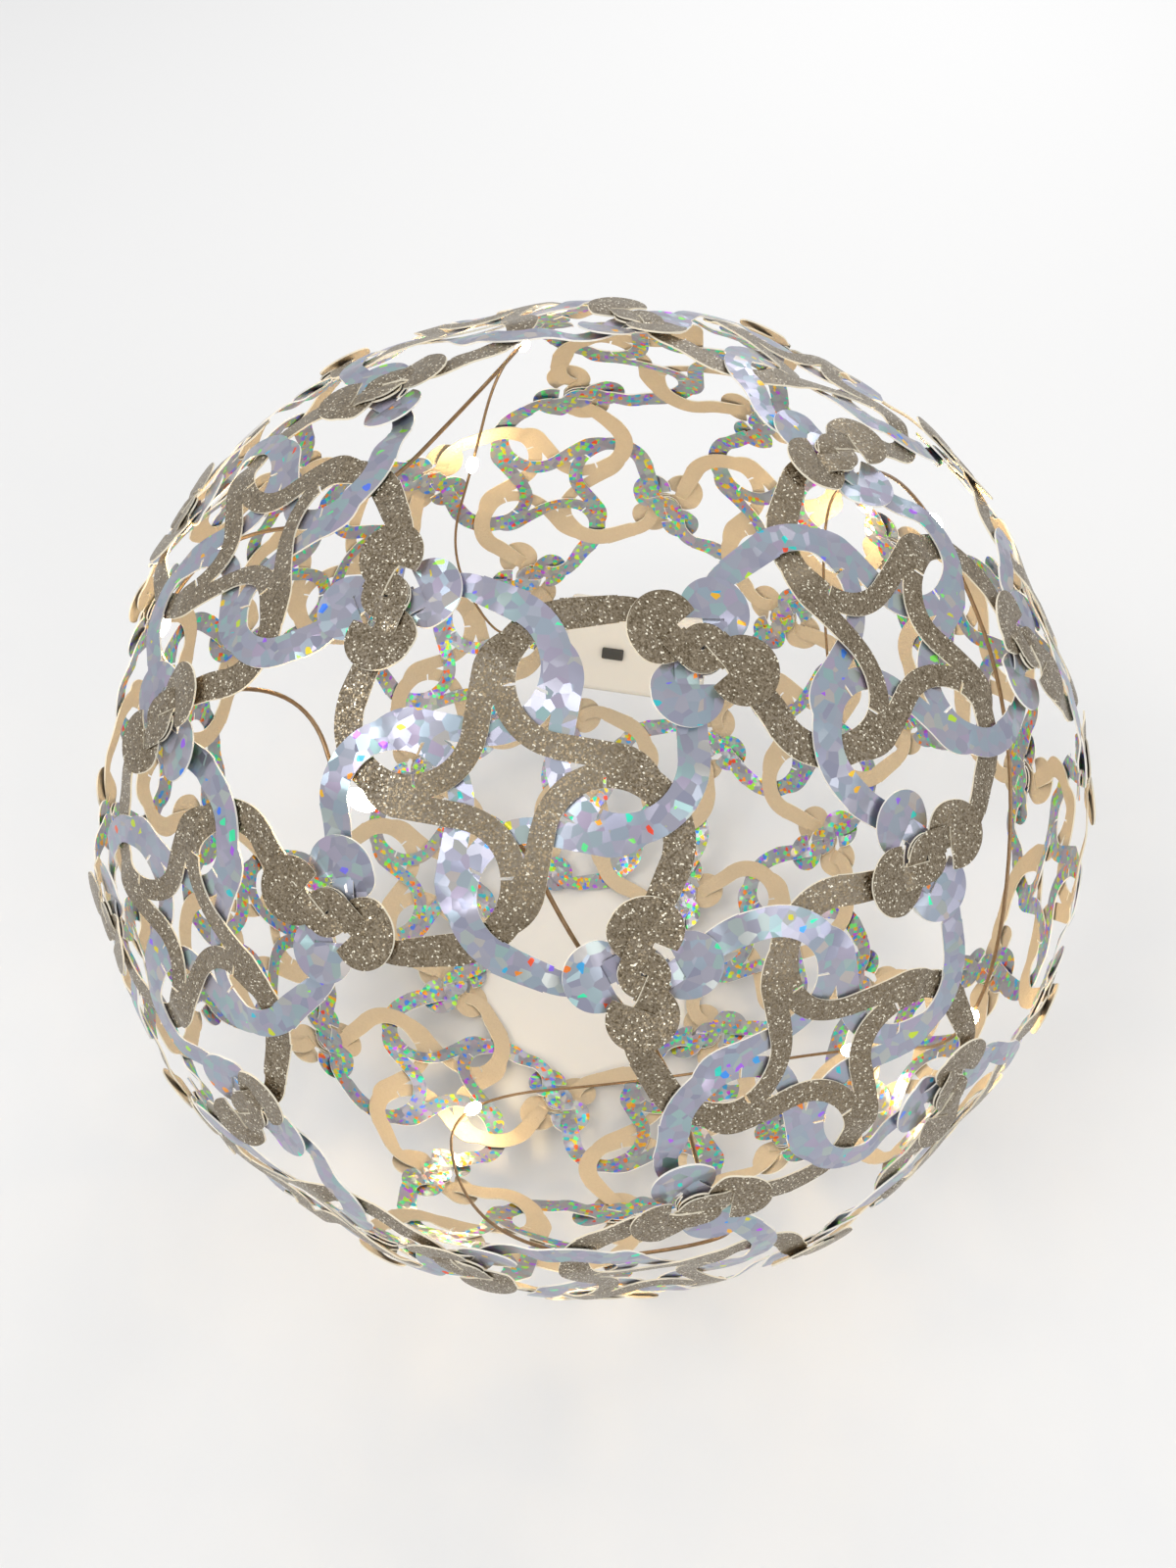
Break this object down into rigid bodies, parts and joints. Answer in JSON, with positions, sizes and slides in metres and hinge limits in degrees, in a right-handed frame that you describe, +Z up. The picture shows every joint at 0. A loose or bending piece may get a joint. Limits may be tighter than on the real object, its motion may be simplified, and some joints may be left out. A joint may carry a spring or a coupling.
{
  "type": "kusudama paper ball",
  "caption": "Open ball of slit-hooked gold glitter-card and holographic silver cut-outs, woven in pairs.",
  "frame": {"origin": "middle of the ball's base, under the pentagon opening it rests on", "axes": "+Z up through the top pentagon opening; +X and +Y across the ball"},
  "size_m": [0.1984, 0.2032, 0.1945],
  "materials": {
    "gold_card": "champagne glitter card with a cream paper back",
    "silver_film": "holographic silver film on thin card, cracked-ice pattern"
  },
  "bodies": {
    "root": {"gold_star_01": "gold_card", "gold_star_02": "gold_card", "gold_star_03": "gold_card", "gold_star_04": "gold_card", "gold_star_05": "gold_card", "gold_star_06": "gold_card", "gold_star_07": "gold_card", "gold_star_08": "gold_card", "gold_star_09": "gold_card", "gold_star_10": "gold_card", "gold_star_11": "gold_card", "gold_star_12": "gold_card", "gold_star_13": "gold_card", "gold_star_14": "gold_card", "gold_star_15": "gold_card", "gold_star_16": "gold_card", "gold_star_17": "gold_card", "gold_star_18": "gold_card", "gold_star_19": "gold_card", "gold_star_20": "gold_card", "gold_star_21": "gold_card", "gold_star_22": "gold_card", "gold_star_23": "gold_card", "gold_star_24": "gold_card", "gold_star_25": "gold_card", "gold_star_26": "gold_card", "gold_star_27": "gold_card", "gold_star_28": "gold_card", "gold_star_29": "gold_card", "gold_star_30": "gold_card", "silver_stars_01": "silver_film", "silver_stars_02": "silver_film", "silver_stars_03": "silver_film", "silver_stars_04": "silver_film", "silver_stars_05": "silver_film", "silver_stars_06": "silver_film", "silver_stars_07": "silver_film", "silver_stars_08": "silver_film", "silver_stars_09": "silver_film", "silver_stars_10": "silver_film", "silver_stars_11": "silver_film", "silver_stars_12": "silver_film", "silver_stars_13": "silver_film", "silver_stars_14": "silver_film", "silver_stars_15": "silver_film"}
  },
  "joints": []
}
